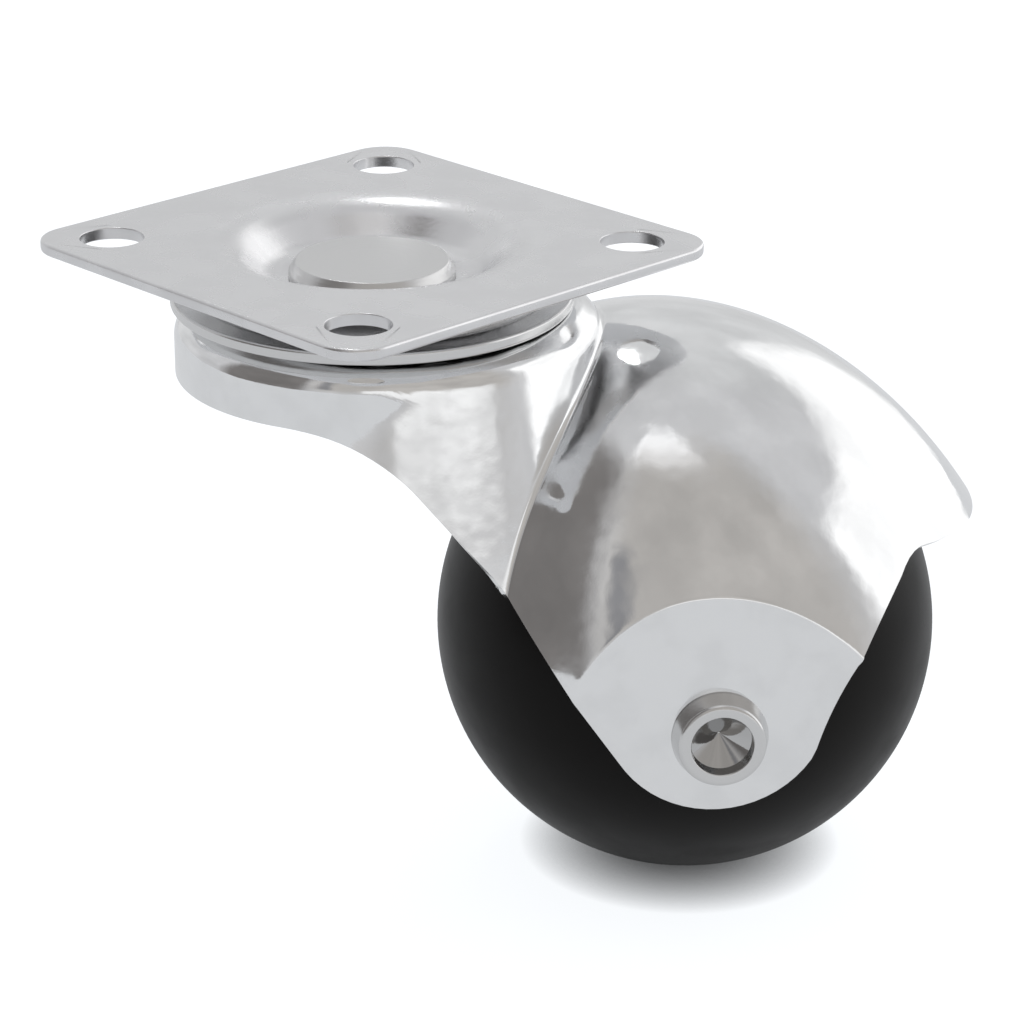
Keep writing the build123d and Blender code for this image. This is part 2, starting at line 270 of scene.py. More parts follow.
def arc_corner(before, corner, after, radius, steps):
    """Points of the round that replaces one corner of a flat line."""
    if radius == 0:
        return [corner]
    back, ahead = (before - corner).normalized(), (after - corner).normalized()
    half = back.angle(ahead) / 2
    centre = corner + (back + ahead).normalized() * (radius / math.sin(half))
    start = corner + back * (radius / math.tan(half)) - centre
    sweep = math.pi - 2 * half
    if back.x * ahead.y - back.y * ahead.x > 0:
        sweep = -sweep
    return arc_points(centre, start, sweep, steps)


def rounded_line(corners, steps):
    """A flat line through corners given as (x, y, round), its inner corners rounded."""
    spots = [Vector(corner[:2]) for corner in corners]
    points = [spots[0]]
    for index in range(1, len(spots) - 1):
        points += arc_corner(spots[index - 1], spots[index], spots[index + 1], corners[index][2], steps)
    return points + [spots[-1]]


def spin_section(points, centre, along, across, steps, closed=False):
    """Spin a half section, given as (height along the axis, radius), about its axis."""
    bm = bmesh.new()
    rim = [bm.verts.new(centre + along * spot[0] + across * spot[1]) for spot in points]
    edges = [bm.edges.new(pair) for pair in zip(rim, rim[1:])]
    if closed:
        edges.append(bm.edges.new((rim[-1], rim[0])))
    bmesh.ops.spin(
        bm, geom=rim + edges, cent=centre, axis=along, dvec=(0, 0, 0), angle=math.tau,
        steps=steps, use_merge=True, use_duplicate=False,
    )
    bmesh.ops.remove_doubles(bm, verts=bm.verts, dist=MERGE)
    bmesh.ops.recalc_face_normals(bm, faces=bm.faces)
    return bm


def turned_piece(corners, centre, along, across, steps, arc_steps=6):
    """Spin a half section whose corners are (height along the axis, radius, round)."""
    return spin_section(rounded_line(corners, arc_steps), centre, along, across, steps)


def keep_flats_flat(piece):
    """Weight the normals by face area, so flat faces shade flat up to their rounds."""
    piece.modifiers.new("Flat faces", "WEIGHTED_NORMAL").keep_sharp = False


def outward_round(first, second, radius):
    """Join two faces, each (distance, normal), in an outward round; the solid lies inside both."""
    lean = first[1].dot(second[1])
    a, b = first[0] + radius, second[0] + radius
    if abs(lean) < NEARLY_ONE and a > lean * b and b > lean * a:
        span = 1 - lean * lean
        away = first[1] * ((a - lean * b) / span) + second[1] * ((b - lean * a) / span)
        return away.length - radius, away.normalized()
    return first if first[0] > second[0] else second


def flipped(face):
    """The same face, seen from its other side."""
    return -face[0], -face[1]


def inward_round(first, second, radius):
    """Join two faces in an inward round; the solid lies inside either."""
    return flipped(outward_round(flipped(first), flipped(second), radius))


def flared_drum(point, lead, radius, flare, sizes):
    """Distance outside a drum that widens downwards from the web, and its normal."""
    top = point.z - sizes.web_top
    reach = math.hypot(point.x - lead, point.y) or TINY
    run, rise = math.cos(flare), math.sin(flare)
    wall = (reach - radius) * run + top * rise
    outward = Vector(((point.x - lead) / reach * run, point.y / reach * run, rise))
    return outward_round((wall, outward), (top, UP), sizes.shoulder)


def long_dome(point, sizes):
    """Distance outside the dome, and its normal."""
    away = point - WHEEL_CENTRE - Vector((sizes.dome_trail, 0, -sizes.dome_drop))
    long_axis = Vector((math.cos(sizes.dome_lean), 0, math.sin(sizes.dome_lean)))
    short_axis = long_axis.cross(ACROSS)
    axes = (long_axis, sizes.dome_long), (short_axis, sizes.dome_short), (ACROSS, sizes.dome_broad)
    scaled = math.sqrt(sum((away.dot(axis) / radius) ** 2 for axis, radius in axes)) or TINY
    slope = sum((axis * (away.dot(axis) / radius ** 2) for axis, radius in axes), Vector())
    return scaled * (scaled - 1) / slope.length, slope.normalized()


def hood_faces(point, sizes):
    """The walls of cup and neck, the dome and the flat pad, each as (distance, normal)."""
    cup = flared_drum(point, 0, sizes.cup_radius, 0, sizes)
    neck = flared_drum(point, sizes.neck_offset, sizes.neck_radius, sizes.neck_flare, sizes)
    wall = inward_round(cup, neck, sizes.blend_round)
    pad = abs(point.y) - sizes.ear_face, ACROSS * math.copysign(1, point.y)
    return wall, long_dome(point, sizes), pad


def hood_surface(point, sizes):
    """Distance outside the whole hood, and its normal."""
    wall, dome, pad = hood_faces(point, sizes)
    return outward_round(inward_round(wall, dome, sizes.crease_round), pad, sizes.pad_round)


def bend_nearness(point, sizes):
    """How far a point of the hood is from the nearest sharp bend."""
    wall, dome, pad = hood_faces(point, sizes)
    crease = max(abs(wall[0]), abs(dome[0]))
    pad_edge = max(abs(dome[0]), abs(pad[0]))
    return min(crease, pad_edge)


def ray_to_sheet(direction, sizes, reach):
    """Where a ray from the hood's middle meets its outer face; reach is a first guess."""
    near, far = NEAREST, FARTHEST
    for _ in range(HALVINGS):
        point = HOOD_MIDDLE + direction * reach
        distance, normal = hood_surface(point, sizes)
        if abs(distance) < CLOSE_ENOUGH:
            break
        near, far = (reach, far) if distance < 0 else (near, reach)
        reach -= distance / max(normal.dot(direction), 0.3)
        if not near < reach < far:
            reach = (near + far) / 2
    return point


def tangent_point(point, centre, radius, side):
    """Where a flat line from the point touches the circle; side is +1 or -1."""
    across = point - centre
    touch = across.normalized() * radius
    touch.rotate(Matrix.Rotation(side * math.acos(radius / across.length), 2))
    return centre + touch


def reach_inside(place, far, sizes):
    """How far a line stays inside the hood; place gives its point at a distance."""
    near = 0.0
    for _ in range(HALVINGS):
        middle = (near + far) / 2
        near, far = (middle, far) if hood_surface(place(middle), sizes)[0] < 0 else (near, middle)
    return near


def trim_outline(sizes, line):
    """Side outline of the trimmed sheet as (x, z) points, from the front to the rear."""
    axle = WHEEL_CENTRE.xz
    front = Vector((-sizes.cup_radius, sizes.cup_bottom))
    throat = Vector((-line.throat_lead, sizes.cup_bottom))
    bend = axle + Vector((-line.bend_lead, line.bend_rise))
    tip = axle + Vector((-line.tip_lead, line.tip_rise))
    lip = axle + Vector((line.lip_reach, line.lip_rise))
    tip_front = tangent_point(bend, tip, line.tip_round, 1)
    tip_rear = tangent_point(lip, tip, line.tip_round, -1)
    fall = Vector((math.cos(line.lip_fall), -math.sin(line.lip_fall)))
    lip_length = reach_inside(lambda far: (lip + fall * far).to_3d().xzy, sizes.dome_short, sizes)
    rear = lip + fall * lip_length
    throat_arc = arc_corner(front, throat, bend, line.throat_round, THROAT_STEPS)
    bend_arc = arc_corner(throat, bend, tip_front, line.bend_round, BEND_STEPS)
    sweep = (tip_rear - tip).angle_signed(tip_front - tip) % math.tau
    tip_arc = arc_points(tip, tip_front - tip, sweep, TIP_STEPS)
    lip_arc = arc_corner(tip_rear, lip, rear, line.lip_round, BEND_STEPS)
    bow = (lip_arc[0] - tip_rear).orthogonal().normalized() * (4 * line.rear_bow)
    shares = [step / EDGE_STEPS for step in range(EDGE_STEPS + 1)]
    return [
        *(front.lerp(throat_arc[0], share ** 2) for share in shares[:-1]),
        *throat_arc,
        *(throat_arc[-1].lerp(bend_arc[0], share) for share in shares[3:-1:3]),
        *bend_arc,
        *(bend_arc[-1].lerp(tip_front, share) for share in shares[1:-1]),
        *tip_arc,
        *(tip_rear.lerp(lip_arc[0], share) + bow * (share * (1 - share)) for share in shares[1:-1]),
        *lip_arc,
        *(rear.lerp(lip_arc[-1], (1 - share) ** 2) for share in shares[1:]),
    ]


def lift_outline(spots, sizes):
    """Carry the side outline across to the sheet's near side."""
    lifted = []
    for spot in spots:
        flat = spot.to_3d().xzy
        across = reach_inside(lambda far: flat - ACROSS * far, sizes.ear_face + sizes.wall, sizes)
        lifted.append(flat - ACROSS * across)
    lifted[0].y = lifted[-1].y = 0
    return lifted


def even_stops(points, count):
    """Where evenly spaced stops fall on a line of points, as (index, share), its end left out."""
    lengths = [0.0]
    for before, after in zip(points, points[1:]):
        lengths.append(lengths[-1] + (after - before).length)
    index = 0
    for step in range(count):
        wanted = lengths[-1] * step / count
        while lengths[index + 1] < wanted:
            index += 1
        yield index, (wanted - lengths[index]) / (lengths[index + 1] - lengths[index])


def web_level(radius, sizes):
    """Level of the web's top face: a groove for the upper balls, a ridge over the lower ones."""
    groove = sizes.upper_groove ** 2 - (radius - sizes.upper_pitch) ** 2
    ridge = (sizes.lower_groove + sizes.wall) ** 2 - (radius - sizes.lower_pitch) ** 2
    level = sizes.web_top
    if groove > 0:
        level = min(level, sizes.upper_level - math.sqrt(groove))
    if ridge > 0:
        level = max(level, sizes.lower_level + math.sqrt(ridge))
    return level


def hood_column(outer, share, sizes):
    """One line of points down the hood: over the web, then down the wall to the trimmed edge."""
    if abs(outer.y) > TINY:
        heading = math.atan2(outer.y, outer.x) % math.tau
    else:
        heading = (1 + round(share)) * math.pi
    heading = (heading + (1 + share) * math.pi) / 2
    spoke = Vector((math.cos(heading), math.sin(heading), 0))
    column = []
    for step in range(WEB_ROWS):
        radius = sizes.pin_hole + (sizes.web_flat - sizes.pin_hole) * step / WEB_ROWS
        column.append(spoke * radius + UP * web_level(radius, sizes))
    start = (spoke * sizes.web_flat + UP * sizes.web_top - HOOD_MIDDLE).normalized()
    end = (outer - HOOD_MIDDLE).normalized()
    survey, reach = [], FIRST_REACH
    for step in range(SURVEY_STEPS + 1):
        survey.append(ray_to_sheet(start.slerp(end, step / SURVEY_STEPS), sizes, reach))
        reach = (survey[-1] - HOOD_MIDDLE).length
    for index, part in even_stops(survey, WALL_ROWS):
        turned = start.slerp(end, (index + part) / SURVEY_STEPS)
        column.append(ray_to_sheet(turned, sizes, reach))
    return column + [outer]


def pierce_ear(bm, sizes):
    """Open the hole in the flat ear: take out a small patch and draw the mesh around it outwards."""
    axle = Vector((WHEEL_CENTRE.x, -sizes.ear_face, WHEEL_CENTRE.z))
    patch, reach = EAR_PATCH * sizes.axle_hole, EAR_REACH * sizes.axle_hole

    def faces_within(radius):
        return [face for face in bm.faces if (face.calc_center_median() - axle).length < radius]

    around = {edge for face in faces_within(EAR_MARGIN * reach) for edge in face.edges}
    bmesh.ops.subdivide_edges(bm, edges=list(around), cuts=2, use_grid_fill=True)
    bmesh.ops.delete(bm, geom=faces_within(patch), context="FACES")
    for vert in bm.verts:
        away = vert.co - axle
        if away.length < reach:
            share = 0 if vert.is_boundary else max(away.length - patch, 0) / (reach - patch)
            vert.co = axle + away.normalized() * (sizes.axle_hole + share * (reach - sizes.axle_hole))


def hood_sheet(sizes, line):
    """Outer face of the hood, as a grid laid over its near half, refined at the bends and mirrored."""
    bm = bmesh.new()
    rows = WEB_ROWS + WALL_ROWS
    bmesh.ops.create_grid(bm, x_segments=STATIONS, y_segments=rows, size=1)
    outline = lift_outline(trim_outline(sizes, line), sizes)
    edge = [outline[index].lerp(outline[index + 1], part) for index, part in even_stops(outline, STATIONS)]
    edge.append(outline[-1])
    columns = [hood_column(spot, index / STATIONS, sizes) for index, spot in enumerate(edge)]
    for vert in bm.verts:
        column = columns[round((vert.co.x + 1) / 2 * STATIONS)]
        vert.co = column[round((vert.co.y + 1) / 2 * rows)]
    for reach in REFINED_WITHIN:
        close = set()
        for face in bm.faces:
            centre = face.calc_center_median()
            if centre.xy.length > sizes.web_flat and bend_nearness(centre, sizes) < reach:
                close.update(face.edges)
        cut = bmesh.ops.subdivide_edges(bm, edges=list(close), cuts=1, use_grid_fill=True)
        for vert in cut["geom_inner"]:
            if isinstance(vert, bmesh.types.BMVert):
                away = vert.co - HOOD_MIDDLE
                vert.co = ray_to_sheet(away.normalized(), sizes, away.length)
    pierce_ear(bm, sizes)
    bmesh.ops.mirror(bm, geom=bm.verts[:] + bm.edges[:] + bm.faces[:], axis="Y", merge_dist=MERGE)
    bmesh.ops.remove_doubles(bm, verts=bm.verts, dist=MERGE)
    bmesh.ops.recalc_face_normals(bm, faces=bm.faces)
    crown = max(bm.faces, key=lambda face: face.calc_center_median().z)
    if crown.normal.z < 0:
        bmesh.ops.reverse_faces(bm, faces=bm.faces)
    return bm


def weigh_rims(bm, chosen, weight=1.0):
    """Mark open edges, so that the bevel rounds them once the sheet has its wall."""
    layers = bm.edges.layers.float
    layer = layers.get("bevel_weight_edge") or layers.new("bevel_weight_edge")
    for edge in bm.edges:
        if edge.is_boundary and chosen(edge):
            edge[layer] = weight


def thicken(piece, wall, edge_round, segments=2):
    """Give a sheet its wall, inwards from its outer face, and round its marked rims."""
    solid = piece.modifiers.new("Sheet wall", "SOLIDIFY")
    solid.thickness = wall
    solid.offset = -1
    solid.use_even_offset = True
    solid.use_quality_normals = True
    bevel = piece.modifiers.new("Cut edge", "BEVEL")
    bevel.width = edge_round
    bevel.segments = segments
    bevel.limit_method = "WEIGHT"
    bevel.harden_normals = True


def pressed_arc(pitch, level, radius, face, steps=16):
    """Points, as (height, radius), of a round pressed out of a flat face, from the inside out."""
    start = math.asin((face - level) / radius)
    sweep = math.pi - 2 * start
    turns = [math.pi - start - sweep * step / steps for step in range(steps + 1)]
    return [(level + radius * math.sin(turn), pitch + radius * math.cos(turn)) for turn in turns]


# Node trees


def fill(tree, socket, value):
    """Link a socket to another one, or give it a plain value."""
    if isinstance(value, bpy.types.NodeSocket):
        tree.links.new(value, socket)
    else:
        socket.default_value = value


def add_node(tree, kind, values=None, **settings):
    """Add a node with its settings; each of its values is a plain one or a socket to link."""
    node = tree.nodes.new(kind)
    for name, value in settings.items():
        setattr(node, name, value)
    for name, value in (values or {}).items():
        fill(tree, node.inputs[name], value)
    return node


def calculate(tree, operation, *terms):
    """A Math node whose terms are sockets or plain numbers; gives its result."""
    node = add_node(tree, "ShaderNodeMath", operation=operation)
    for socket, term in zip(node.inputs, terms):
        fill(tree, socket, term)
    return node.outputs[0]


def mix_colours(tree, factor, first, second):
    """Mix two colours, each a socket or three numbers; gives the result."""
    node = add_node(tree, "ShaderNodeMix", {"Factor": factor}, data_type="RGBA")
    colour_sockets = [socket for socket in node.inputs if socket.type == "RGBA"]
    for socket, value in zip(colour_sockets, (first, second)):
        fill(tree, socket, value if isinstance(value, bpy.types.NodeSocket) else (*value, 1))
    return next(socket for socket in node.outputs if socket.type == "RGBA")


def new_group(name, inputs, output):
    """An empty node group; gives its tree, the sockets of what it is given, and its result."""
    tree = bpy.data.node_groups.new(name, "ShaderNodeTree")
    for label in inputs:
        kind = "NodeSocketVector" if label == "Vector" else "NodeSocketFloat"
        tree.interface.new_socket(label, in_out="INPUT", socket_type=kind)
    tree.interface.new_socket(output, in_out="OUTPUT", socket_type="NodeSocketFloat")
    return tree, tree.nodes.new("NodeGroupInput").outputs, tree.nodes.new("NodeGroupOutput").inputs[output]


def place_group(tree, name, **values):
    """Put a node group into a tree, with its own values; gives its result."""
    return add_node(tree, "ShaderNodeGroup", values, node_tree=bpy.data.node_groups[name]).outputs[0]


def speckle_group():
    """Fine grain: a height that changes from spot to spot."""
    tree, given, height = new_group("Speckle", ("Vector", "Scale", "Detail"), "Height")
    noise = add_node(tree, "ShaderNodeTexNoise", {
        "Vector": given["Vector"], "Scale": given["Scale"], "Detail": given["Detail"], "Roughness": 0.6,
    })
    fill(tree, height, noise.outputs["Fac"])


def cloud_group():
    """Soft blotches between two limits, for handling marks and uneven plating."""
    tree, given, mask = new_group("Clouds", ("Vector", "Scale", "Low", "High"), "Mask")
    noise = add_node(tree, "ShaderNodeTexNoise", {
        "Vector": given["Vector"], "Scale": given["Scale"], "Detail": 4.0, "Roughness": 0.55,
    })
    span = add_node(tree, "ShaderNodeMapRange", {
        "Value": noise.outputs["Fac"], "From Min": given["Low"], "From Max": given["High"],
    }, interpolation_type="SMOOTHSTEP")
    fill(tree, mask, span.outputs["Result"])


def turning_group():
    """Concentric tool marks about the vector's own Z axis."""
    tree, given, height = new_group("Turning marks", ("Vector", "Scale"), "Height")
    apart = add_node(tree, "ShaderNodeSeparateXYZ", {"Vector": given["Vector"]}).outputs
    square = calculate(
        tree, "MULTIPLY_ADD", apart["Y"], apart["Y"], calculate(tree, "MULTIPLY", apart["X"], apart["X"]),
    )
    noise = add_node(tree, "ShaderNodeTexNoise", {
        "W": calculate(tree, "SQRT", square), "Scale": given["Scale"], "Detail": 3.0,
    }, noise_dimensions="1D")
    fill(tree, height, noise.outputs["Fac"])


def new_material(name, colour_value, metallic, roughness, **sockets):
    """A material; gives its tree and its shader."""
    material = bpy.data.materials.new(name)
    material.use_nodes = True
    tree = material.node_tree
    shader = tree.nodes["Principled BSDF"]
    values = {"Base Color": (*colour_value, 1), "Metallic": metallic, "Roughness": roughness, **sockets}
    for socket, value in values.items():
        shader.inputs[socket.replace("_", " ")].default_value = value
    return tree, shader


def object_place(tree):
    """The socket of a piece's own Object coordinates."""
    return add_node(tree, "ShaderNodeTexCoord").outputs["Object"]


def vary_sheen(tree, shader, mask, low, high):
    """Let a mask move a shader's roughness between two limits."""
    span = add_node(tree, "ShaderNodeMapRange", {"Value": mask, "To Min": low, "To Max": high})
    fill(tree, shader.inputs["Roughness"], span.outputs["Result"])


def tint(tree, shader, mask, plain, share_left):
    """Let a mask darken the base colour; dulled is the share that is left."""
    mixed = mix_colours(tree, mask, plain, Vector(plain) * share_left)
    fill(tree, shader.inputs["Base Color"], mixed)


def roughen(tree, shader, *layers):
    """Stack bumps, each (height, depth in metres), onto a shader's normal."""
    below = {}
    for height, depth in layers:
        values = {"Strength": 1.0, "Distance": depth, "Height": height, **below}
        below = {"Normal": add_node(tree, "ShaderNodeBump", values).outputs["Normal"]}
    fill(tree, shader.inputs["Normal"], below["Normal"])


# Finishes


def chrome_finish(looks, name="Bright chrome"):
    """Polished chrome plating: slight waves from the press, faint clouds and fine pits."""
    sheen = looks.chrome_roughness
    tree, shader = new_material(name, looks.chrome, 1.0, sheen)
    vector = object_place(tree)
    waves = place_group(tree, "Speckle", Vector=vector, Scale=200.0, Detail=2.0)
    pits = place_group(tree, "Speckle", Vector=vector, Scale=2600.0, Detail=2.0)
    clouds = place_group(tree, "Clouds", Vector=vector, Scale=220.0, Low=0.42, High=0.66)
    vary_sheen(tree, shader, clouds, sheen * 0.7, sheen * 2.0)
    tint(tree, shader, clouds, looks.chrome, 0.97)
    roughen(tree, shader, (waves, 0.07 * MM), (pits, 0.002 * MM))


def zinc_finish(looks, name="Satin zinc"):
    """Satin zinc plating with fine grain and uneven sheen."""
    sheen = looks.zinc_roughness
    tree, shader = new_material(name, looks.zinc, 1.0, sheen)
    vector = object_place(tree)
    grain = place_group(tree, "Speckle", Vector=vector, Scale=1500.0, Detail=4.0)
    clouds = place_group(tree, "Clouds", Vector=vector, Scale=150.0, Low=0.35, High=0.65)
    vary_sheen(tree, shader, clouds, sheen * 0.9, sheen * 1.15)
    tint(tree, shader, clouds, looks.zinc, 0.95)
    roughen(tree, shader, (grain, 0.012 * MM))


def turned_finish(looks, name, centre, along, roughness):
    """Turned steel with concentric tool marks about a given axis."""
    tree, shader = new_material(name, looks.steel, 1.0, roughness)
    vector = object_place(tree)
    turned = along.rotation_difference(UP).to_euler()
    shifted = centre.copy()
    shifted.rotate(turned)
    place = add_node(tree, "ShaderNodeMapping", {
        "Vector": vector, "Rotation": turned, "Location": -shifted,
    }, vector_type="POINT")
    marks = place_group(tree, "Turning marks", Vector=place.outputs["Vector"], Scale=1600.0)
    grain = place_group(tree, "Speckle", Vector=vector, Scale=2200.0, Detail=3.0)
    roughen(tree, shader, (marks, 0.03 * MM), (grain, 0.008 * MM))


def plain_steel_finish(looks, name, roughness, share_left=1.0):
    """Bright steel with a faint grain, its colour scaled down evenly by the share left; in the drilled recess
    this darker colour is painted shade.
    """
    tree, shader = new_material(name, Vector(looks.steel) * share_left, 1.0, roughness)
    vector = object_place(tree)
    grain = place_group(tree, "Speckle", Vector=vector, Scale=1800.0, Detail=3.0)
    roughen(tree, shader, (grain, 0.004 * MM))


def black_finish(looks, name, sheen):
    """Moulded plastic with a faint skin and scuffs."""
    tree, shader = new_material(name, looks.black, 0.0, sheen, Specular_IOR_Level=0.12)
    vector = object_place(tree)
    skin = place_group(tree, "Speckle", Vector=vector, Scale=1500.0, Detail=2.0)
    scuffs = place_group(tree, "Clouds", Vector=vector, Scale=90.0, Low=0.45, High=0.7)
    vary_sheen(tree, shader, scuffs, sheen * 0.92, sheen * 1.12)
    roughen(tree, shader, (skin, 0.003 * MM))


def finish_piece(piece, *names):
    """Give a piece its finishes."""
    for name in names:
        piece.data.materials.append(bpy.data.materials[name])


def dress(node, name):
    """Give a CAD node a finish in place of its plain one."""
    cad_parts[node].material_slots[0].material = bpy.data.materials[name]


# Operators


class CASTER_OT_finishes(bpy.types.Operator):
    """Make the node groups and the materials that the pieces use"""

    bl_idname = "caster.finishes"
    bl_label = "Finishes"

    def execute(self, context):
        looks = context.scene.caster_looks
        speckle_group()
        cloud_group()
        turning_group()
        chrome_finish(looks)
        zinc_finish(looks)
        turned_finish(looks, "Turned pin head", Vector(), UP, looks.pin_roughness)
        turned_finish(looks, "Turned axle", WHEEL_CENTRE, ACROSS, looks.axle_roughness)
        # The recess's steel is drawn darker, at 0.75 of the plain steel: painted shade in the drilled recess.
        plain_steel_finish(looks, "Drilled recess", looks.recess_roughness, share_left=0.75)
        plain_steel_finish(looks, "Bright race", looks.race_roughness)
        # The balls' steel is drawn darker, at 0.4 of the plain steel.
        plain_steel_finish(looks, "Bearing balls", looks.ball_roughness, share_left=0.4)
        black_finish(looks, "Moulded black", looks.black_roughness)
        black_finish(looks, "Matt black", looks.spacer_roughness)
        return {"FINISHED"}


class CASTER_OT_plate(bpy.types.Operator):
    """Press the screw plate with its dish and its four holes"""

    bl_idname = "caster.plate"
    bl_label = "Screw plate"

    def execute(self, context):
        sizes = context.scene.caster_plate
        flat_ring = sizes.dish_rim + 0.6 * sizes.rim_round  # past the rim's round
        bm = turned_piece(
            (
                (-sizes.dish_depth, sizes.pin_hole, 0),
                (-sizes.dish_depth, sizes.dish_floor, sizes.floor_round),
                (0, sizes.dish_rim, sizes.rim_round),
                (0, flat_ring, 0),
            ),
            Vector(), UP, TRAIL, TURNED_STEPS, arc_steps=10,
        )
        turned = Matrix.Rotation(sizes.turn, 4, "Z")
        square = bmesh.ops.create_grid(bm, x_segments=1, y_segments=1, size=sizes.side / 2, matrix=turned)
        bmesh.ops.bevel(
            bm, geom=square["verts"], affect="VERTICES", offset=sizes.corner, offset_type="OFFSET",
            segments=10, profile=0.5, material=-1,
        )
        sheet = max(bm.faces, key=lambda face: face.calc_area())
        bmesh.ops.delete(bm, geom=[sheet], context="FACES_ONLY")
        spread = sizes.hole_spacing / 2
        for x, y in ((-1, -1), (-1, 1), (1, -1), (1, 1)):
            place = turned @ Matrix.Translation((x * spread, y * spread, 0))
            bmesh.ops.create_circle(bm, cap_ends=False, radius=sizes.hole_radius, segments=48, matrix=place)
        open_edges = [
            edge for edge in bm.edges
            if len(edge.link_faces) < 2 and all(abs(vert.co.z) < TINY for vert in edge.verts)
        ]
        bmesh.ops.triangle_fill(bm, use_beauty=True, use_dissolve=False, edges=open_edges, normal=UP)
        flat = [face for face in bm.faces if all(abs(vert.co.z) < TINY for vert in face.verts)]
        for border in (sizes.edge_round, 1.5 * sizes.edge_round):  # keeps the shading flat beside the rims
            bmesh.ops.inset_region(bm, faces=flat, thickness=border, use_boundary=True, use_even_offset=False)
        bm.normal_update()
        bmesh.ops.reverse_faces(bm, faces=[face for face in bm.faces if face.normal.z < 0])
        straightened = turned.inverted()

        def is_outer(edge):
            place = straightened @ edge.verts[0].co
            return max(abs(place.x), abs(place.y)) > (sizes.side - sizes.corner) / 2

        weigh_rims(bm, lambda edge: edge.verts[0].co.length > flat_ring, HOLE_RIM_WEIGHT)
        weigh_rims(bm, is_outer)
        piece = place_piece("plate_sheet", bm, "plate", "zinc_plate", "top_plate")
        thicken(piece, sizes.wall, sizes.edge_round, 3)
        keep_flats_flat(piece)
        finish_piece(piece, "Satin zinc")
        return {"FINISHED"}


class CASTER_OT_swivel(bpy.types.Operator):
    """Turn the king pin and the upper race, and finish the bearing's other pieces"""

    bl_idname = "caster.swivel"
    bl_label = "Swivel"

    def execute(self, context):
        sizes = context.scene.caster_swivel
        hood = context.scene.caster_hood
        dish = -context.scene.caster_plate.dish_depth
        head_top, peen_bottom = PIN_HIGH.z, PIN_LOW.z
        bm = turned_piece(
            (
                (head_top, 0, 0),
                (head_top, sizes.head_radius - sizes.head_bevel, sizes.bevel_top_round),
                (head_top - sizes.bevel_height, sizes.head_radius, sizes.bevel_foot_round),
                (dish, sizes.head_radius, 0),
                (dish, sizes.shank_radius, 0),
                (LOWER_RACE_BOTTOM, sizes.shank_radius, 0),
                (LOWER_RACE_BOTTOM, sizes.peen_radius, 0),
                (peen_bottom, sizes.peen_radius, sizes.peen_round),
                (peen_bottom, 0, 0),
            ),
            Vector(), UP, TRAIL, TURNED_STEPS,
        )
        pin = place_piece("pin_turned", bm, "plate", "pin_steel", "king_pin")
        finish_piece(pin, "Turned pin head")
        keep_flats_flat(pin)
        top = PLATE_BOTTOM
        bottom = top - sizes.race_wall
        groove = pressed_arc(hood.upper_pitch, hood.upper_level, hood.upper_groove, bottom)
        ridge = pressed_arc(hood.upper_pitch, hood.upper_level, hood.upper_groove + sizes.race_wall, top)
        inner = context.scene.caster_plate.pin_hole
        corners = ((bottom, RACE_RADIUS, sizes.race_round), (top, RACE_RADIUS, sizes.race_round))
        rim_line = rounded_line(((*groove[-1], 0), *corners, (*ridge[-1], 0)), 4)
        section = [(bottom, inner), *groove, *rim_line[1:-1], *reversed(ridge), (top, inner)]
        bm = spin_section(section, Vector(), UP, TRAIL, TURNED_STEPS, closed=True)
        race = place_piece("race_pressed", bm, "plate", "race_steel", "upper_race")
        finish_piece(race, "Bright race")
        keep_flats_flat(race)
        dress("lower_race", "Bright race")
        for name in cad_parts:
            if "_ball_" in name:
                dress(name, "Bearing balls")
        return {"FINISHED"}


class CASTER_OT_hood(bpy.types.Operator):
    """Press the hood with its cup, neck, dome and ears"""

    bl_idname = "caster.hood"
    bl_label = "Hood"

    def execute(self, context):
        sizes = context.scene.caster_hood
        bm = hood_sheet(sizes, context.scene.caster_outline)

        def is_trimmed(edge):
            middle = (edge.verts[0].co + edge.verts[1].co) / 2
            in_ear = (middle.xz - WHEEL_CENTRE.xz).length < 1.2 * sizes.axle_hole
            return middle.z < sizes.web_top - sizes.shoulder and not in_ear

        weigh_rims(bm, is_trimmed)
        piece = place_piece("hood_pressed", bm, "swivel_hood", "chrome", "hood")
        thicken(piece, sizes.wall, sizes.edge_round)
        finish_piece(piece, "Bright chrome")
        return {"FINISHED"}


